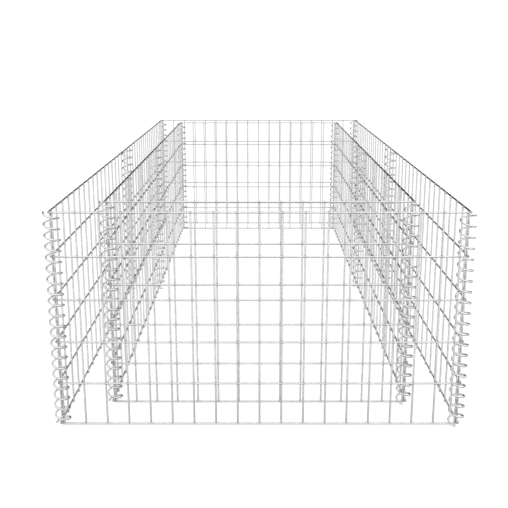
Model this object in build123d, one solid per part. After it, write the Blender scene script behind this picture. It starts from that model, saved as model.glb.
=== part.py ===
from build123d import *
import math
import os

# Gabion planter: two upright rings of welded wire mesh, one inside the other, open above and below.
# The soil bed is inside the inner ring, and the stones stand in the channel between the rings.
# A ring is six flat panels: a front, a back and two to a side. Open wire spirals lace their edges.
# Lengths are in millimetres and angles in radians.
# X runs across the bed, Y from the front to the back, and Z up.
# The origin is on the ground at the middle of the bed.

# Wire and mesh
wire = 4.0               # diameter of every wire, straight or wound
mesh_width = 50.0        # between the axes of neighbouring upright wires
mesh_height = 100.0      # between the axes of neighbouring level wires

# Panels, counted in meshes
front_meshes = 18        # across the outer front and back panels
side_meshes = 18         # along one outer side panel
height_meshes = 5        # up every panel
channel_meshes = 2       # across the stone channel

# Lacing
lacing_gap = 0.3         # between the edge wires of two panels laced together
spiral_diameter = 32.5   # of a spiral's turns, at the axis of its wire
turns_per_mesh = 4       # turns of a spiral in the height of one mesh
seat_gap = 0.15          # between a spiral and the level wires that it rests on

# A round wire is drawn as a square one of the same area, and a spiral's round turn as a regular
# one of a few straights, also of the same area. The faces stay few and flat.
straights_per_turn = 4

# Sizes that follow
square = wire*math.sqrt(math.pi)/2
lacing_pitch = wire + lacing_gap
height = height_meshes*mesh_height + wire
lowest_axis = wire/2
highest_axis = height - lowest_axis

# Spirals
pitch = mesh_height/turns_per_mesh
half_angle = math.pi/straights_per_turn
turn_reach = spiral_diameter/2*math.sqrt(half_angle/math.tan(half_angle))
half_straight = turn_reach*math.tan(half_angle)
straight_rise = pitch/straights_per_turn
straight_slope = math.atan2(straight_rise, 2*half_straight)

# A spiral's wire rests on a level wire, on the lowest edge of its square section
half_diagonal = square/math.sqrt(2)
seat_height = square/2*(1 + math.tan(straight_slope))
seat_height += (half_diagonal + seat_gap)/math.cos(straight_slope)


def panel(meshes):
    """A flat welded panel that faces -Y, its level wires on the front of its upright ones."""
    width = meshes*mesh_width
    upright = Box(square, square, height, align=(Align.CENTER, Align.CENTER, Align.MIN))
    level = Box(width + wire, square, square)
    wires = []
    for i in range(meshes + 1):
        wires.append(Pos(i*mesh_width - width/2, 0, 0) * upright)
    for i in range(height_meshes + 1):
        wires.append(Pos(0, -square, lowest_axis + i*mesh_height) * level)
    return Compound(children=wires)


def spiral(along, outward, offset):
    """
    A left-handed spiral about Z. Its turns rest on level wires that run from
    its axis in the direction `along`, moved out by `offset` towards `outward`.
    """
    along, outward = Vector(*along), Vector(*outward)
    heading = Vector(along.Y, -along.X)

    # The height of the straight that rests, halfway along it, then of a corner at its end
    middle_z = lowest_axis + seat_height
    middle_z -= heading.dot(outward)*offset*math.tan(straight_slope)
    corner_z = middle_z + straight_rise/2
    first = math.ceil((lowest_axis - corner_z)/straight_rise)
    last = math.floor((highest_axis - corner_z)/straight_rise)

    corner = along*turn_reach + heading*half_straight
    corners = []
    for i in range(first, last + 1):
        turned = corner.rotate(Axis.Z, -i*360/straights_per_turn)
        corners.append(turned + Vector(0, 0, corner_z + i*straight_rise))
    section = Plane(origin=corners[0], z_dir=corners[1] - corners[0]) * Rectangle(square, square)
    return sweep(section, path=Polyline(*corners), transition=Transition.RIGHT)


def ring(name, across, along_side):
    """The panels and spirals of one ring, by node name."""
    half_width = across*mesh_width/2
    side_width = along_side*mesh_width
    side_x = half_width + lacing_pitch
    end_y = side_width + lacing_pitch/2
    side_y = (side_width + lacing_pitch)/2
    corner_x = half_width + lacing_pitch/2

    right, left = (1, 0), (-1, 0)
    back, front = (0, 1), (0, -1)

    # A corner spiral rests on the level wires of the end panel or on those of the side panel
    on_end = square
    on_side = square + lacing_pitch/2

    return {
        f"{name}_front_panel": Pos(0, -end_y, 0) * panel(across),
        f"{name}_back_panel": Pos(0, end_y, 0) * Rot(0, 0, 180) * panel(across),
        f"{name}_left_front_panel": Pos(-side_x, -side_y, 0) * Rot(0, 0, -90) * panel(along_side),
        f"{name}_left_rear_panel": Pos(-side_x, side_y, 0) * Rot(0, 0, -90) * panel(along_side),
        f"{name}_right_front_panel": Pos(side_x, -side_y, 0) * Rot(0, 0, 90) * panel(along_side),
        f"{name}_right_rear_panel": Pos(side_x, side_y, 0) * Rot(0, 0, 90) * panel(along_side),
        f"{name}_front_left_spiral": Pos(-corner_x, -end_y, 0) * spiral(back, left, on_side),
        f"{name}_front_right_spiral": Pos(corner_x, -end_y, 0) * spiral(left, front, on_end),
        f"{name}_back_left_spiral": Pos(-corner_x, end_y, 0) * spiral(right, back, on_end),
        f"{name}_back_right_spiral": Pos(corner_x, end_y, 0) * spiral(front, right, on_side),
        f"{name}_left_middle_spiral": Pos(-side_x, 0, 0) * spiral(front, left, on_end),
        f"{name}_right_middle_spiral": Pos(side_x, 0, 0) * spiral(back, right, on_end),
    }


nodes = ring("outer", front_meshes, side_meshes)
nodes |= ring("inner", front_meshes - 2*channel_meshes, side_meshes - channel_meshes)

os.makedirs("parts", exist_ok=True)
for node, shape in nodes.items():
    export_step(shape, f"parts/{node}.step")
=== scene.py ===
import logging
import math
import random
from abc import ABC, abstractmethod
from dataclasses import dataclass, field
from enum import Enum
from typing import ClassVar

import bpy
import numpy as np
from mathutils import Matrix, Vector


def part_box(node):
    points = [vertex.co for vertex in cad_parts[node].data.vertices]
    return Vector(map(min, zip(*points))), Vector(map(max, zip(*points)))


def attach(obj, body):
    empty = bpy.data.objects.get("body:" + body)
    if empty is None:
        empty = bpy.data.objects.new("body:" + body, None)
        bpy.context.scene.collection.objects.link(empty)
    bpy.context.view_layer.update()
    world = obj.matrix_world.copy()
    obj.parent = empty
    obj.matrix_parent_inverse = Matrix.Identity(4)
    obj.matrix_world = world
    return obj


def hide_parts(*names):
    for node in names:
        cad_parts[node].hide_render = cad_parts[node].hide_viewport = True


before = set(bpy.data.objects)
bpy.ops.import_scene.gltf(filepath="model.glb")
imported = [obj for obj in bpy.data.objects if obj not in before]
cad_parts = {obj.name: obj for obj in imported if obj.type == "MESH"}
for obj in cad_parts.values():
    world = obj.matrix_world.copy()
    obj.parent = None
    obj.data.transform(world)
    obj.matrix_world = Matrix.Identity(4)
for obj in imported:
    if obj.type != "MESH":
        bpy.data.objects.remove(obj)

# The looks of the gabion planter: round galvanised wire, weld nuggets, cut ends and smooth spirals.
# Metres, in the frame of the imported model: X across the bed, Y to the back, Z up from the ground.

LOG = logging.getLogger("planter")
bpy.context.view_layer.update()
BODY = "root"
SEED = 41

PANEL_SLOT = "panel_wire"
SPIRAL_SLOT = "spiral_wire"

# What the meshes carry for the materials: nearness to a weld, and lengths along and around a wire
HEAT = "weld_heat"
ALONG = "along_wire"

# Each wire starts at a random place in this many metres of the patterns
PATTERN_ROOM = 9

Colour = tuple[float, float, float, float]
Point = tuple[float, float, float]
Sheet = tuple[list[Point], list[tuple[int, ...]]]

WHITE: Colour = (1.0, 1.0, 1.0, 1.0)


class Facing(Enum):
    """The way that a panel faces, as its turn about Z from facing -Y."""

    FRONT = 0.0
    RIGHT = math.pi/2
    BACK = math.pi
    LEFT = -math.pi/2

    @property
    def outward(self) -> Vector:
        """The unit vector away from the bed."""
        return Vector((math.sin(self.value), -math.cos(self.value), 0.0))


class Surface(Enum):
    """The surfaces of a wire piece, in the order of its material slots."""

    WIRE = 0
    WELD = 1
    CUT = 2


class WhichRing(Enum):
    """The two rings, by the word that their nodes' names begin with."""

    OUTER = "outer"
    INNER = "inner"


# The panels of a ring, by the rest of their nodes' names
PANEL_FACINGS = {
    "front_panel": Facing.FRONT,
    "back_panel": Facing.BACK,
    "left_front_panel": Facing.LEFT,
    "left_rear_panel": Facing.LEFT,
    "right_front_panel": Facing.RIGHT,
    "right_rear_panel": Facing.RIGHT,
}


@dataclass(frozen=True)
class WireSizes:
    """The sizes of the wire and of its mesh.

    Args:
        wire: diameter of every wire.
        mesh_width: from one upright wire to the next.
        mesh_height: from one level wire to the next.
        spiral_diameter: of a spiral's turns, at the axis of its wire.
        turns_per_mesh: turns of a spiral in the height of one mesh.
        seat_gap: between a spiral and the level wires that it rests on.
    """

    wire: float = 0.004
    mesh_width: float = 0.050
    mesh_height: float = 0.100
    spiral_diameter: float = 0.0325
    turns_per_mesh: int = 4
    seat_gap: float = 0.00015

    @property
    def weld_depth(self) -> float:
        """Between the axes of two wires that are welded together."""
        return self.wire*math.sqrt(math.pi)/2

    @property
    def pitch(self) -> float:
        """The rise of one turn of a spiral."""
        return self.mesh_height/self.turns_per_mesh


@dataclass(frozen=True)
class Stations:
    """The points along a wire at which its rings stand.

    Args:
        lengths: length of wire up to each point.
        heat: how near each point is to a weld, from 0 to 1.
        swell: share by which the wire is thicker there.
    """

    lengths: np.ndarray
    heat: np.ndarray
    swell: np.ndarray


def unit(run: np.ndarray) -> np.ndarray:
    """The unit vector along a run."""
    return run/np.linalg.norm(run)


class WireMesh:
    """Gathers tubes and nuggets as arrays, and turns them into one mesh object."""

    def __init__(self) -> None:
        """Start with nothing."""
        self.points: list[np.ndarray] = []
        self.heat: list[np.ndarray] = []
        self.quads: list[np.ndarray] = []
        self.quad_uvs: list[np.ndarray] = []
        self.quad_surface: list[np.ndarray] = []
        self.count = 0

    def add_grid(
        self, grid: np.ndarray, heat: np.ndarray, uv: np.ndarray, surface: np.ndarray
    ) -> None:
        """Add a tube as a grid of rings, closed round each ring.

        Args:
            grid: points, as rings by points round a ring by three.
            heat: how near each ring is to a weld, from 0 to 1.
            uv: lengths along and around in metres, as rings by points round and one more, by two.
            surface: the surface of each band between two rings.
        """
        rings, around = grid.shape[:2]
        index = self.count + np.arange(rings*around).reshape(rings, around)
        here, ahead = index[:-1], index[1:]
        quads = np.stack([here, np.roll(here, -1, 1), np.roll(ahead, -1, 1), ahead], axis=-1)
        corners = np.stack([uv[:-1, :-1], uv[:-1, 1:], uv[1:, 1:], uv[1:, :-1]], axis=2)
        self.points.append(grid.reshape(-1, 3))
        self.heat.append(np.repeat(heat, around))
        self.quads.append(quads.reshape(-1, 4))
        self.quad_uvs.append(corners.reshape(-1, 4, 2))
        self.quad_surface.append(np.repeat(surface, around))
        self.count += rings*around

    def to_object(self, name: str, place: Matrix) -> bpy.types.Object:
        """Make the mesh object.

        Args:
            name: the name of the piece.
            place: where the gathered points go in the row frame.

        Returns:
            The object, with its points already in place and none below the ground.
        """
        points = np.concatenate(self.points)
        turn = np.array(place.to_3x3())
        points = points @ turn.T + np.array(place.translation)
        points[:, 2] = np.maximum(points[:, 2], 0.0)
        quads = np.concatenate(self.quads)
        mesh = bpy.data.meshes.new(name)
        mesh.vertices.add(len(points))
        mesh.vertices.foreach_set("co", points.astype(np.float32).ravel())
        mesh.loops.add(quads.size)
        mesh.loops.foreach_set("vertex_index", quads.astype(np.int32).ravel())
        mesh.polygons.add(len(quads))
        loop_starts = np.arange(0, quads.size, quads.shape[1], dtype=np.int32)
        mesh.polygons.foreach_set("loop_start", loop_starts)
        surface = np.concatenate(self.quad_surface).astype(np.int32)
        mesh.polygons.foreach_set("material_index", surface)
        mesh.update(calc_edges=True)
        mesh.polygons.foreach_set("use_smooth", surface != Surface.CUT.value)
        layer = mesh.uv_layers.new(name=ALONG)
        layer.data.foreach_set("uv", np.concatenate(self.quad_uvs).astype(np.float32).ravel())
        heat = mesh.attributes.new(HEAT, "FLOAT", "POINT")
        heat.data.foreach_set("value", np.concatenate(self.heat).astype(np.float32))
        mesh.validate(clean_customdata=False)
        piece = bpy.data.objects.new(name, mesh)
        bpy.context.scene.collection.objects.link(piece)
        return piece


@dataclass(frozen=True)
class WireBrush:
    """Draws round wire along a line, with sheared ends.

    Args:
        diameter: of the wire.
        sides: points round the wire.
        bevel: length of the worn edge at a cut end.
        worn: share of the bevel's length by which it narrows the cut face all round.
        dip: share of the bevel's length by which the middle of the cut face is sunk.
        inner: share of the radius from which the cut face dips.
        middle: share of the radius at which the dip ends.
    """

    diameter: float
    sides: int = 14
    bevel: float = 0.00035
    worn: float = 0.7
    dip: float = 0.4
    inner: float = 0.45
    middle: float = 0.02

    def draw(
        self,
        into: WireMesh,
        centres: np.ndarray,
        side_axis: np.ndarray,
        up_axis: np.ndarray,
        stations: Stations,
        start: float,
    ) -> None:
        """Draw one wire.

        Args:
            into: the mesh that takes it.
            centres: points of the axis, first to last.
            side_axis: unit vector across the wire at each point.
            up_axis: the other unit vector across it, so that side x up runs along the wire.
            stations: length, heat and swelling at each point.
            start: a length that moves the surface's pattern, so that no two wires are alike.
        """
        radius = self.diameter/2
        end = len(centres) - 1
        order = np.concatenate([[0, 0, 0], np.arange(end + 1), [end, end, end]])
        first = unit(centres[1] - centres[0])
        last = unit(centres[-1] - centres[-2])

        # The rings of a cut end, from its middle out: dip, its rim, worn edge, full wire
        spots = centres[order].copy()
        spots[0] += first*self.bevel*self.dip
        spots[3] += first*self.bevel
        spots[-1] -= last*self.bevel*self.dip
        spots[-4] -= last*self.bevel
        radii = radius*(1 + stations.swell[order])
        radii[[0, -1]] = radius*self.middle
        radii[[1, -2]] = radius*self.inner
        radii[[2, -3]] = radius - self.bevel*self.worn
        surface = np.full(len(order) - 1, Surface.WIRE.value)
        surface[[0, 1, -1, -2]] = Surface.CUT.value

        angle = np.linspace(0, 2*math.pi, self.sides, endpoint=False)
        ring = (
            side_axis[order][:, None, :]*np.cos(angle)[None, :, None]
            + up_axis[order][:, None, :]*np.sin(angle)[None, :, None]
        )
        grid = spots[:, None, :] + ring*radii[:, None, None]
        turn = np.linspace(0, math.pi*self.diameter, self.sides + 1)
        uv = np.empty((len(order), self.sides + 1, 2))
        uv[..., 0] = (stations.lengths[order] + start)[:, None]
        uv[..., 1] = turn[None, :]
        into.add_grid(grid, stations.heat[order], uv, surface)


@dataclass(frozen=True)
class WeldNugget:
    """The metal squeezed out where two wires are welded.

    Args:
        reach: half its size in the plane of the panel.
        depth: half its size through the panel.
        rings: rings from pole to pole.
        sides: points round a ring.
        cap: share of the way from its middle to a pole at which its last ring stands.
        corners: how many corners the crossed wires leave it.
        bulge: share by which it swells into them.
        rough: share by which its outline wanders.
        smallest: share of its size that the smallest nugget has.
        largest: share of its size that the largest nugget has.
    """

    reach: float = 0.0027
    depth: float = 0.00135
    rings: int = 7
    sides: int = 12
    cap: float = 0.97
    corners: int = 4
    bulge: float = 0.16
    rough: float = 0.10
    smallest: float = 0.92
    largest: float = 1.06

    def draw(self, into: WireMesh, centre: np.ndarray, dice: random.Random) -> None:
        """Draw one nugget, its poles through the panel.

        Args:
            into: the mesh that takes it.
            centre: halfway between the two axes.
            dice: where its unevenness comes from.
        """
        rise = np.linspace(-self.cap, self.cap, self.rings)*math.pi/2
        angle = np.linspace(0, 2*math.pi, self.sides, endpoint=False)
        lobes = 1 + self.bulge*np.cos(self.corners*(angle + math.pi/self.corners))
        wander = np.array([dice.uniform(1 - self.rough, 1 + self.rough) for _ in angle])
        size = dice.uniform(self.smallest, self.largest)
        flat = np.cos(rise)[:, None]*(lobes*wander)[None, :]*self.reach*size
        grid = np.empty((self.rings, self.sides, 3))
        grid[..., 0] = flat*np.cos(angle)
        grid[..., 1] = np.sin(rise)[:, None]*self.depth*size
        grid[..., 2] = -flat*np.sin(angle)
        uv = np.empty((self.rings, self.sides + 1, 2))
        uv[..., 0] = (rise*self.depth + dice.random())[:, None]
        uv[..., 1] = np.linspace(0, 2*math.pi*self.reach, self.sides + 1)
        surface = np.full(self.rings - 1, Surface.WELD.value)
        into.add_grid(grid + centre, np.ones(self.rings), uv, surface)


@dataclass
class WirePart(ABC):
    """A part of galvanised wire.

    Args:
        node: the CAD node that it stands for.
        sizes: sizes of wire and mesh.

    Attributes:
        slot: the record's material slot that it takes its finish from.
    """

    slot: ClassVar[str]
    node: str
    sizes: WireSizes

    @abstractmethod
    def mesh(self, dice: random.Random) -> bpy.types.Object:
        """Build the part.

        Args:
            dice: where the small differences come from.

        Returns:
            The piece, in place.
        """

    def dress(self, piece: bpy.types.Object, finishes: list[bpy.types.Material]) -> None:
        """Give the piece its finishes and its place in the frame.

        Args:
            piece: the piece.
            finishes: a material for each surface, in order.
        """
        for material in finishes:
            piece.data.materials.append(material)
        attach(piece, BODY)
        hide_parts(self.node)


@dataclass
class WeldedPanel(WirePart):
    """A flat panel of welded mesh, its level wires outside its upright ones.

    Args:
        facing: the way that it faces.
        hot: how far a weld's heat shows along a wire.
        fade: power by which the heat dies away over that length.
        swell: share by which a wire is thicker at a weld.
        near: points of a wire about a weld, as shares of the heat's length.
        clear: least length of wire between such a point and a cut end.
        nugget: the metal at each weld.

    Attributes:
        height: of its upright wires.
        width: from its first upright wire to its last.
        columns: meshes across.
        rows: meshes up.
        origin: the foot of its middle, in the plane of its upright wires.
    """

    slot: ClassVar[str] = PANEL_SLOT
    facing: Facing
    hot: float = 0.0075
    fade: float = 1.5
    swell: float = 0.05
    near: tuple[float, ...] = (-1.0, -0.55, -0.25, 0.0, 0.25, 0.55, 1.0)
    clear: float = 0.0006
    nugget: WeldNugget = WeldNugget()
    height: float = field(init=False)
    width: float = field(init=False)
    columns: int = field(init=False)
    rows: int = field(init=False)
    origin: Vector = field(init=False)

    def __post_init__(self) -> None:
        """Work out the place and the counts from the frame."""
        low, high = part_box(self.node)
        size = high - low
        self.height = size.z
        self.width = max(size.x, size.y) - self.sizes.wire
        self.columns = round(self.width/self.sizes.mesh_width)
        self.rows = round((size.z - self.sizes.wire)/self.sizes.mesh_height)
        middle = (low + high)/2 - self.facing.outward*self.sizes.weld_depth/2
        self.origin = Vector((middle.x, middle.y, low.z))

    @property
    def place(self) -> Matrix:
        """From the panel's own frame to the row frame."""
        return Matrix.Translation(self.origin) @ Matrix.Rotation(self.facing.value, 4, "Z")

    def stations(self, length: float, first: float, welds: int, step: float) -> Stations:
        """Points along a straight wire, closer together at its welds.

        Args:
            length: of the wire.
            first: from its end to its first weld.
            welds: how many welds it has.
            step: from one weld to the next.

        Returns:
            The points, with their heat and their swelling.
        """
        spots = {0.0, length}
        for i in range(welds):
            for share in self.near:
                spot = first + i*step + share*self.hot
                if self.clear < spot < length - self.clear:
                    spots.add(spot)
        lengths = np.array(sorted(spots))
        centres = first + step*np.arange(welds)
        away = np.abs(lengths[:, None] - centres[None, :]).min(1)/self.hot
        heat = np.clip(1 - away, 0, 1)**self.fade
        return Stations(lengths, heat, heat*self.swell)

    def draw_row(
        self,
        into: WireMesh,
        starts: list[np.ndarray],
        axes: tuple[np.ndarray, np.ndarray, np.ndarray],
        stations: Stations,
        dice: random.Random,
    ) -> None:
        """Draw a row of parallel wires.

        Args:
            into: the mesh that takes them.
            starts: where each wire starts.
            axes: unit vectors along the wires, then across them, so that second x third is first.
            stations: the points along each wire.
            dice: where the small differences come from.
        """
        brush = WireBrush(self.sizes.wire)
        along, side, up = axes
        count = len(stations.lengths)
        for start in starts:
            centres = start + stations.lengths[:, None]*along
            brush.draw(
                into, centres, np.tile(side, (count, 1)), np.tile(up, (count, 1)),
                stations, dice.uniform(0, PATTERN_ROOM),
            )

    def mesh(self, dice: random.Random) -> bpy.types.Object:
        """Build the wires and welds.

        Args:
            dice: where the small differences come from.

        Returns:
            The panel, in place.
        """
        into = WireMesh()
        sizes = self.sizes
        x_axis, y_axis, z_axis = np.eye(3)
        across = [i*sizes.mesh_width - self.width/2 for i in range(self.columns + 1)]
        levels = [sizes.wire/2 + i*sizes.mesh_height for i in range(self.rows + 1)]

        upright = self.stations(self.height, levels[0], len(levels), sizes.mesh_height)
        feet = [np.array([x, 0, 0]) for x in across]
        self.draw_row(into, feet, (z_axis, x_axis, y_axis), upright, dice)

        length = self.width + sizes.wire
        level = self.stations(length, sizes.wire/2, len(across), sizes.mesh_width)
        ends = [np.array([-length/2, -sizes.weld_depth, z]) for z in levels]
        self.draw_row(into, ends, (x_axis, y_axis, z_axis), level, dice)

        for x in across:
            for z in levels:
                self.nugget.draw(into, np.array([x, -sizes.weld_depth/2, z]), dice)
        return into.to_object(f"{self.node}_wires", self.place)


@dataclass
class LacingSpiral(WirePart):
    """A left-handed wire spiral that laces the edge wires of two panels.

    Args:
        axis: where its axis stands on the ground.
        along: the way that the level wires it rests on run from the axis.
        outward: the way that those wires are moved out from the axis.
        offset: how far they are moved out.
        height: of the panels that it laces.
        steps: points of the wire's axis in one turn.
        sides: points round the wire.
    """

    slot: ClassVar[str] = SPIRAL_SLOT
    axis: Vector
    along: Vector
    outward: Vector
    offset: float
    height: float
    steps: int = 44
    sides: int = 12

    def mesh(self, dice: random.Random) -> bpy.types.Object:
        """Build the spiral.

        Args:
            dice: where the small differences come from.

        Returns:
            The spiral, in place.
        """
        sizes = self.sizes
        radius = sizes.spiral_diameter/2
        slope = math.atan2(sizes.pitch, 2*math.pi*radius)
        rest = self.along*math.sqrt(radius**2 - self.offset**2) + self.outward*self.offset
        rest_angle = math.atan2(rest.y, rest.x)
        rest_z = sizes.wire/2 + (sizes.wire + sizes.seat_gap)/math.cos(slope)

        low, high = sizes.wire/2, self.height - sizes.wire/2
        count = round((high - low)/sizes.pitch*self.steps)
        z = np.linspace(low, high, count + 1)
        angle = rest_angle - 2*math.pi*(z - rest_z)/sizes.pitch
        radial = np.stack([np.cos(angle), np.sin(angle), np.zeros_like(z)], axis=1)
        centres = radial*radius
        centres[:, 2] = z
        heading = np.stack([np.sin(angle), -np.cos(angle), np.zeros_like(z)], axis=1)
        heading = heading*math.cos(slope) + np.array([0, 0, math.sin(slope)])

        into = WireMesh()
        no_weld = np.zeros(count + 1)
        WireBrush(sizes.wire, sides=self.sides).draw(
            into, centres, radial, np.cross(heading, radial),
            Stations((z - low)/math.sin(slope), no_weld, no_weld), dice.uniform(0, PATTERN_ROOM),
        )
        return into.to_object(f"{self.node}_wire", Matrix.Translation(self.axis))


@dataclass
class Ring:
    """One ring of six panels and six spirals.

    Args:
        which: the outer ring or the inner one.
        sizes: sizes of wire and mesh.

    Attributes:
        panels: its panels, by the rest of their nodes' names.
    """

    which: WhichRing
    sizes: WireSizes
    panels: dict[str, WeldedPanel] = field(init=False)

    def __post_init__(self) -> None:
        """Set the panels out from the frame."""
        self.panels = {
            name: WeldedPanel(f"{self.which.value}_{name}", self.sizes, facing)
            for name, facing in PANEL_FACINGS.items()
        }

    def spirals(self) -> list[LacingSpiral]:
        """Set the spirals out between the panels.

        Returns:
            The corner spirals and those halfway along the sides.
        """
        front = self.panels["front_panel"]
        side_x = self.panels["right_front_panel"].origin.x
        corner_x = (front.width/2 + side_x)/2
        end_y = -front.origin.y
        on_end = self.sizes.weld_depth
        on_side = on_end + side_x - corner_x
        x, y = Vector((1, 0, 0)), Vector((0, 1, 0))
        spots = {
            "front_left": (Vector((-corner_x, -end_y, 0)), y, -x, on_side),
            "front_right": (Vector((corner_x, -end_y, 0)), -x, -y, on_end),
            "back_left": (Vector((-corner_x, end_y, 0)), x, y, on_end),
            "back_right": (Vector((corner_x, end_y, 0)), -y, x, on_side),
            "left_middle": (Vector((-side_x, 0, 0)), -y, -x, on_end),
            "right_middle": (Vector((side_x, 0, 0)), y, x, on_end),
        }
        return [
            LacingSpiral(f"{self.which.value}_{name}_spiral", self.sizes, *spot, front.height)
            for name, spot in spots.items()
        ]

    def parts(self) -> list[WirePart]:
        """All its parts, the panels first."""
        return [*self.panels.values(), *self.spirals()]


@dataclass(frozen=True)
class NodeSheet:
    """Short ways to add and join shader nodes in one tree.

    Args:
        tree: the node tree that gets the nodes.
    """

    tree: bpy.types.NodeTree

    def add(
        self, kind: str, values: dict[str | int, object] | None = None, **settings: object
    ) -> bpy.types.Node:
        """Add a node.

        Args:
            kind: Blender's name of the node.
            values: values of its input sockets, by name or number.
            settings: its own settings.

        Returns:
            The node.
        """
        node = self.tree.nodes.new(kind)
        for key, value in settings.items():
            setattr(node, key, value)
        for key, value in (values or {}).items():
            node.inputs[key].default_value = value
        return node

    def join(self, source: bpy.types.NodeSocket, target: bpy.types.NodeSocket) -> None:
        """Join an output to an input."""
        self.tree.links.new(source, target)


def neutral(tone: float) -> Colour:
    """The grey of a tone."""
    return (tone, tone, tone, 1.0)


class ZincPatterns:
    """Node groups that every galvanised finish of the planter uses, each built once."""

    # Scale of the clouding, as a share of the crystals' scale
    CLOUD_SHARE = 0.11

    def __init__(self) -> None:
        """Build the groups."""
        self.spangle = self.build_spangle()
        self.drawn = self.build_drawn()

    def new_group(
        self, name: str, inputs: dict[str, float], outputs: tuple[str, ...]
    ) -> tuple[NodeSheet, bpy.types.Node, bpy.types.Node]:
        """Start a group.

        Args:
            name: of the group.
            inputs: default values by name.
            outputs: names.

        Returns:
            The group's sheet, its input node and its output node.
        """
        group = bpy.data.node_groups.new(name, "ShaderNodeTree")
        kind = "NodeSocketFloat"
        for label, value in inputs.items():
            socket = group.interface.new_socket(label, in_out="INPUT", socket_type=kind)
            socket.default_value = value
        for label in outputs:
            group.interface.new_socket(label, in_out="OUTPUT", socket_type=kind)
        sheet = NodeSheet(group)
        return sheet, sheet.add("NodeGroupInput"), sheet.add("NodeGroupOutput")

    def build_spangle(self) -> bpy.types.NodeTree:
        """Zinc spangle: small crystals with soft clouding over them.

        Returns:
            A group from Scale to Spangle and Height.
        """
        sheet, source, target = self.new_group(
            "zinc spangle", {"Scale": 400.0}, ("Spangle", "Height")
        )
        place = sheet.add("ShaderNodeTexCoord")
        cells = sheet.add("ShaderNodeTexVoronoi", {"Randomness": 1.0}, feature="F1")
        cloud = sheet.add("ShaderNodeTexNoise", {"Detail": 3.0, "Roughness": 0.6})
        share = sheet.add("ShaderNodeMath", {1: self.CLOUD_SHARE}, operation="MULTIPLY")
        grey = sheet.add("ShaderNodeSeparateColor")
        height = sheet.add("ShaderNodeMath", operation="ADD")
        sheet.join(place.outputs["Object"], cells.inputs["Vector"])
        sheet.join(place.outputs["Object"], cloud.inputs["Vector"])
        sheet.join(source.outputs["Scale"], cells.inputs["Scale"])
        sheet.join(source.outputs["Scale"], share.inputs[0])
        sheet.join(share.outputs[0], cloud.inputs["Scale"])
        sheet.join(cells.outputs["Color"], grey.inputs["Color"])
        sheet.join(grey.outputs["Red"], height.inputs[0])
        sheet.join(cloud.outputs["Fac"], height.inputs[1])
        sheet.join(grey.outputs["Red"], target.inputs["Spangle"])
        sheet.join(height.outputs[0], target.inputs["Height"])
        return sheet.tree

    def build_drawn(self) -> bpy.types.NodeTree:
        """Fine lines along the wire, left by the drawing die.

        Returns:
            A group from Lines and Stretch to Streak.
        """
        sheet, source, target = self.new_group(
            "drawn wire", {"Lines": 4200.0, "Stretch": 60.0}, ("Streak",)
        )
        strip = sheet.add("ShaderNodeUVMap", uv_map=ALONG)
        scale = sheet.add("ShaderNodeCombineXYZ")
        stretched = sheet.add("ShaderNodeVectorMath", operation="MULTIPLY")
        streak = sheet.add("ShaderNodeTexNoise", {"Scale": 1.0, "Detail": 2.0, "Roughness": 0.55})
        sheet.join(source.outputs["Stretch"], scale.inputs["X"])
        sheet.join(source.outputs["Lines"], scale.inputs["Y"])
        sheet.join(strip.outputs["UV"], stretched.inputs[0])
        sheet.join(scale.outputs["Vector"], stretched.inputs[1])
        sheet.join(stretched.outputs["Vector"], streak.inputs["Vector"])
        sheet.join(streak.outputs["Fac"], target.inputs["Streak"])
        return sheet.tree


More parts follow.
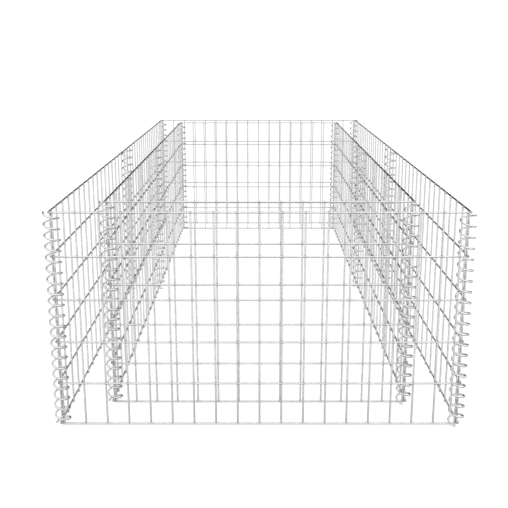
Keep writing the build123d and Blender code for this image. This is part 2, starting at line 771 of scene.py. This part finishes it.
@dataclass(frozen=True)
class ZincFinish:
    """A galvanised surface.

    Args:
        name: of the material.
        bright: colour of clean zinc.
        dull: colour of its clouding.
        hot: colour where a weld has burnt it.
        smooth: roughness of the brightest spots.
        matt: roughness of the dullest spots.
        spangle: crystals to a metre.
        bump: height of the zinc's unevenness.
        steep: strength of that unevenness.
        clean: value of the zinc's Height up to which it is all bright.
        clouded: value of it from which it is all dull.
        streaky: share of the drawn lines in its roughness, where the crystals have the rest.
        lines: drawn lines to a metre round the wire.
        stretch: how often they change in a metre along it.
        edge: share of its light that is left where it is seen along its surface.
    """

    name: str
    bright: Colour
    dull: Colour
    hot: Colour
    smooth: float
    matt: float
    spangle: float
    bump: float
    steep: float = 0.35
    clean: float = 0.55
    clouded: float = 1.45
    streaky: float = 0.5
    lines: float = 4200.0
    stretch: float = 60.0
    edge: float = 0.1

    def material(self, patterns: ZincPatterns) -> bpy.types.Material:
        """Build the material.

        Args:
            patterns: the node groups.

        Returns:
            The material.
        """
        made = bpy.data.materials.new(self.name)
        made.use_nodes = True
        made.diffuse_color = self.bright
        made.node_tree.nodes.clear()
        sheet = NodeSheet(made.node_tree)
        out = sheet.add("ShaderNodeOutputMaterial")
        metal = sheet.add(
            "ShaderNodeBsdfPrincipled", {"Metallic": 1.0, "Specular Tint": neutral(self.edge)}
        )
        zinc = sheet.add("ShaderNodeGroup", {"Scale": self.spangle}, node_tree=patterns.spangle)
        drawn = sheet.add(
            "ShaderNodeGroup", {"Lines": self.lines, "Stretch": self.stretch},
            node_tree=patterns.drawn,
        )
        heat = sheet.add("ShaderNodeAttribute", attribute_name=HEAT)

        # Colour: clean zinc to clouded zinc, and burnt at the welds
        blend = sheet.add(
            "ShaderNodeMapRange", {"From Min": self.clean, "From Max": self.clouded}
        )
        clouded = sheet.add(
            "ShaderNodeMix", {"A": self.bright, "B": self.dull}, data_type="RGBA"
        )
        burnt = sheet.add("ShaderNodeMix", {"B": self.hot}, data_type="RGBA")
        sheet.join(zinc.outputs["Height"], blend.inputs["Value"])
        sheet.join(blend.outputs["Result"], clouded.inputs["Factor"])
        sheet.join(heat.outputs["Fac"], burnt.inputs["Factor"])
        sheet.join(clouded.outputs["Result"], burnt.inputs["A"])
        sheet.join(burnt.outputs["Result"], metal.inputs["Base Color"])

        # Roughness: from the crystals and the drawn lines together
        crystals = sheet.add("ShaderNodeMath", {1: 1 - self.streaky}, operation="MULTIPLY")
        both = sheet.add("ShaderNodeMath", {1: self.streaky}, operation="MULTIPLY_ADD")
        rough = sheet.add("ShaderNodeMapRange", {"To Min": self.smooth, "To Max": self.matt})
        sheet.join(zinc.outputs["Spangle"], crystals.inputs[0])
        sheet.join(drawn.outputs["Streak"], both.inputs[0])
        sheet.join(crystals.outputs[0], both.inputs[2])
        sheet.join(both.outputs[0], rough.inputs["Value"])
        sheet.join(rough.outputs["Result"], metal.inputs["Roughness"])

        # Unevenness: from the same two
        height = sheet.add("ShaderNodeMath", operation="ADD")
        bump = sheet.add("ShaderNodeBump", {"Strength": self.steep, "Distance": self.bump})
        sheet.join(zinc.outputs["Height"], height.inputs[0])
        sheet.join(drawn.outputs["Streak"], height.inputs[1])
        sheet.join(height.outputs[0], bump.inputs["Height"])
        sheet.join(bump.outputs["Normal"], metal.inputs["Normal"])
        sheet.join(metal.outputs["BSDF"], out.inputs["Surface"])
        return made


PANEL_ZINC = ZincFinish(
    "panel zinc", bright=(0.84, 0.84, 0.845, 1), dull=(0.68, 0.68, 0.68, 1),
    hot=(0.60, 0.60, 0.60, 1), smooth=0.12, matt=0.28, spangle=420.0, bump=0.00004,
)
SPIRAL_ZINC = ZincFinish(
    "spiral zinc", bright=(0.90, 0.90, 0.905, 1), dull=(0.77, 0.77, 0.77, 1),
    hot=(0.70, 0.70, 0.70, 1), smooth=0.14, matt=0.30, spangle=520.0, bump=0.00003,
)
WELD_ZINC = ZincFinish(
    "weld zinc", bright=(0.66, 0.66, 0.67, 1), dull=(0.54, 0.54, 0.55, 1),
    hot=(0.56, 0.555, 0.55, 1), smooth=0.38, matt=0.6, spangle=900.0, bump=0.0001,
)
CUT_STEEL = ZincFinish(
    "cut steel", bright=(0.56, 0.56, 0.57, 1), dull=(0.42, 0.41, 0.40, 1),
    hot=(0.5, 0.5, 0.5, 1), smooth=0.35, matt=0.55, spangle=1600.0, bump=0.00008,
)


@dataclass(frozen=True)
class PhotoCamera:
    """The camera of the photograph, as fitted to the wires in it.

    Args:
        frame_px: side of the square image.
        focal_px: focal length.
        centre_px: where the camera's own axis meets the image, from the top left.
        dip: angle that it looks down, in radians.
        distance: from the outer front panel's upright wires.
        height: above the ground.
        aside: to the right of the planter's middle.
        sensor_mm: width of its sensor, in millimetres.
        nearest: least distance at which it sees.
        furthest: greatest distance at which it sees.
    """

    frame_px: float = 508.0
    focal_px: float = 689.83
    centre_px: tuple[float, float] = (257.35, 185.5)
    dip: float = 0.20376
    distance: float = 1.44882
    height: float = 0.86013
    aside: float = -0.0050
    sensor_mm: float = 36.0
    nearest: float = 0.05
    furthest: float = 200.0

    def make(self, front_y: float) -> None:
        """Create the camera and make it the scene's.

        Args:
            front_y: the plane of the outer front panel's upright wires.
        """
        data = bpy.data.cameras.new("photo_camera")
        data.sensor_width = self.sensor_mm
        data.lens = self.focal_px/self.frame_px*self.sensor_mm
        middle = self.frame_px/2
        data.shift_x = (middle - self.centre_px[0])/self.frame_px
        data.shift_y = (self.centre_px[1] - middle)/self.frame_px
        data.clip_start = self.nearest
        data.clip_end = self.furthest
        camera = bpy.data.objects.new("photo_camera", data)
        camera.location = (self.aside, front_y - self.distance, self.height)
        camera.rotation_euler = (math.pi/2 - self.dip, 0, 0)
        bpy.context.scene.collection.objects.link(camera)
        bpy.context.scene.camera = camera


def level_square(side: float, height: float) -> Sheet:
    """A level square about the middle of the bed.

    Args:
        side: its side.
        height: above the ground.

    Returns:
        Its corners, and its one face as numbers of corners.
    """
    half = side/2
    corners = [(-half, -half), (half, -half), (half, half), (-half, half)]
    return [(x, y, height) for x, y in corners], [(0, 1, 2, 3)]


def stage_sheet(name: str, paint_name: str, sheet: Sheet) -> tuple[bpy.types.Object, NodeSheet]:
    """Make a sheet for the studio, with a material that has no nodes yet.

    Args:
        name: of the sheet.
        paint_name: of its material.
        sheet: its corners, and its faces as numbers of corners.

    Returns:
        The sheet, and the nodes of its material.
    """
    points, faces = sheet
    mesh = bpy.data.meshes.new(name)
    mesh.from_pydata(points, [], faces)
    made = bpy.data.objects.new(name, mesh)
    bpy.context.scene.collection.objects.link(made)
    paint = bpy.data.materials.new(paint_name)
    paint.use_nodes = True
    paint.node_tree.nodes.clear()
    mesh.materials.append(paint)
    return made, NodeSheet(paint.node_tree)


@dataclass(frozen=True)
class Card(ABC):
    """A dark studio card, seen by gloss alone, that gives bright wire its shaded side.

    Args:
        name: of the card.
        grey: its tone.
    """

    name: str
    grey: float

    @abstractmethod
    def shape(self) -> Sheet:
        """Its corners, and its faces as numbers of corners."""

    def make(self) -> None:
        """Hang the card where gloss alone sees it."""
        card, nodes = stage_sheet(self.name, self.name, self.shape())
        glow = nodes.add("ShaderNodeEmission", {"Color": neutral(self.grey), "Strength": 1.0})
        out = nodes.add("ShaderNodeOutputMaterial")
        nodes.join(glow.outputs["Emission"], out.inputs["Surface"])
        card.visible_camera = False
        card.visible_diffuse = False
        card.visible_transmission = False
        card.visible_shadow = False


@dataclass(frozen=True)
class BentCard(Card):
    """A card bent round the planter.

    Args:
        start: its first edge, as degrees from the back towards the left.
        end: its last edge, the same way.
        low: height of its lower edge.
        high: height of its upper edge.
        distance: from the middle of the planter.
        steps: flat strips that it is bent into.
    """

    start: float
    end: float
    low: float
    high: float
    distance: float = 6.0
    steps: int = 16

    def shape(self) -> Sheet:
        """Bend the card.

        Returns:
            Its corners, and its faces as numbers of corners.
        """
        points = []
        for i in range(self.steps + 1):
            turn = math.radians(self.start + (self.end - self.start)*i/self.steps)
            x, y = -math.sin(turn)*self.distance, math.cos(turn)*self.distance
            points += [(x, y, self.low), (x, y, self.high)]
        return points, [(2*i, 2*i + 2, 2*i + 3, 2*i + 1) for i in range(self.steps)]


@dataclass(frozen=True)
class FlatCard(Card):
    """A level card under the planter.

    Args:
        side: its side.
        depth: how far below the ground it is.
    """

    side: float
    depth: float

    def shape(self) -> Sheet:
        """Its corners and its face."""
        return level_square(self.side, -self.depth)


@dataclass(frozen=True)
class Overhead:
    """A very wide soft light from above and in front, the same all over the floor.

    Args:
        name: of the lamp.
        lean: how far its middle leans from the zenith to the front, in degrees.
        aside: how far it is turned to the right, in degrees.
        spread: its width, in degrees.
        power: the light it gives on a surface that faces it.
    """

    name: str
    lean: float
    aside: float
    spread: float
    power: float

    def make(self) -> None:
        """Create the lamp."""
        data = bpy.data.lights.new(self.name, "SUN")
        data.angle = math.radians(self.spread)
        data.energy = self.power
        lamp = bpy.data.objects.new(self.name, data)
        lamp.rotation_euler = (math.radians(self.lean), 0, math.radians(self.aside))
        bpy.context.scene.collection.objects.link(lamp)


@dataclass(frozen=True)
class Studio:
    """A pale floor in soft light, with a white background.

    Args:
        floor_side: side of the floor.
        floor_drop: how far the floor lies under the planter's feet.
        floor_grey: its own tone.
        floor_lift: light added to it where it is seen, so that it meets the white background.
        sky: strength of the light from all round.
        cards: what the wire's gloss sees besides white.
        overhead: the lamp.
    """

    floor_side: float = 60.0
    floor_drop: float = 0.0002
    floor_grey: float = 0.36
    floor_lift: float = 0.76
    sky: float = 0.80
    cards: tuple[Card, ...] = (
        BentCard("card_back_left", grey=0.0, start=-14.0, end=50.0, low=-3.5, high=7.0),
        FlatCard("card_below", grey=0.1, side=13.0, depth=4.0),
    )
    overhead: Overhead = Overhead("overhead", lean=30.0, aside=10.0, spread=120.0, power=0.7)

    def seen(self, nodes: NodeSheet) -> bpy.types.NodeSocket:
        """Whether a ray comes from the camera, a gloss or a clear material.

        Args:
            nodes: the tree that gets the nodes.

        Returns:
            The socket, at 1 where it does.
        """
        path = nodes.add("ShaderNodeLightPath")
        first = nodes.add("ShaderNodeMath", operation="MAXIMUM")
        second = nodes.add("ShaderNodeMath", operation="MAXIMUM")
        nodes.join(path.outputs["Is Camera Ray"], first.inputs[0])
        nodes.join(path.outputs["Is Glossy Ray"], first.inputs[1])
        nodes.join(first.outputs[0], second.inputs[0])
        nodes.join(path.outputs["Is Transmission Ray"], second.inputs[1])
        return second.outputs[0]

    def make_world(self) -> None:
        """White where it is seen, and a softer light where it only lights."""
        world = bpy.data.worlds.new("studio")
        bpy.context.scene.world = world
        world.use_nodes = True
        world.node_tree.nodes.clear()
        nodes = NodeSheet(world.node_tree)
        light = nodes.add("ShaderNodeBackground", {"Color": WHITE, "Strength": self.sky})
        white = nodes.add("ShaderNodeBackground", {"Color": WHITE, "Strength": 1.0})
        mix = nodes.add("ShaderNodeMixShader")
        out = nodes.add("ShaderNodeOutputWorld")
        nodes.join(self.seen(nodes), mix.inputs["Fac"])
        nodes.join(light.outputs[0], mix.inputs[1])
        nodes.join(white.outputs[0], mix.inputs[2])
        nodes.join(mix.outputs[0], out.inputs["Surface"])

    def make_floor(self) -> None:
        """A pale floor that keeps the planter's shadow."""
        square = level_square(self.floor_side, -self.floor_drop)
        floor, nodes = stage_sheet("floor", "pale floor", square)
        matt = nodes.add("ShaderNodeBsdfDiffuse", {"Color": neutral(self.floor_grey)})
        glow = nodes.add("ShaderNodeEmission", {"Color": WHITE})
        lift = nodes.add("ShaderNodeMath", {1: self.floor_lift}, operation="MULTIPLY")
        both = nodes.add("ShaderNodeAddShader")
        out = nodes.add("ShaderNodeOutputMaterial")
        nodes.join(self.seen(nodes), lift.inputs[0])
        nodes.join(lift.outputs[0], glow.inputs["Strength"])
        nodes.join(matt.outputs[0], both.inputs[0])
        nodes.join(glow.outputs[0], both.inputs[1])
        nodes.join(both.outputs[0], out.inputs["Surface"])
        floor.visible_glossy = False

    def make(self) -> None:
        """Set up the whole studio."""
        bpy.context.scene.view_settings.view_transform = "Standard"
        self.make_world()
        self.make_floor()
        for card in self.cards:
            card.make()
        self.overhead.make()


def main() -> None:
    """Build the camera, the rings and the studio, in that order."""
    logging.basicConfig(level=logging.INFO, format="%(message)s")
    sizes = WireSizes()
    rings = {which: Ring(which, sizes) for which in WhichRing}
    PhotoCamera().make(rings[WhichRing.OUTER].panels["front_panel"].origin.y)

    patterns = ZincPatterns()
    weld = WELD_ZINC.material(patterns)
    cut = CUT_STEEL.material(patterns)
    finishes = {
        PANEL_SLOT: [PANEL_ZINC.material(patterns), weld, cut],
        SPIRAL_SLOT: [SPIRAL_ZINC.material(patterns), weld, cut],
    }
    dice = random.Random(SEED)
    for ring in rings.values():
        for part in ring.parts():
            piece = part.mesh(dice)
            part.dress(piece, finishes[part.slot])
            LOG.info("%s: %d faces", piece.name, len(piece.data.polygons))
    Studio().make()


if __name__ == "__main__":
    main()
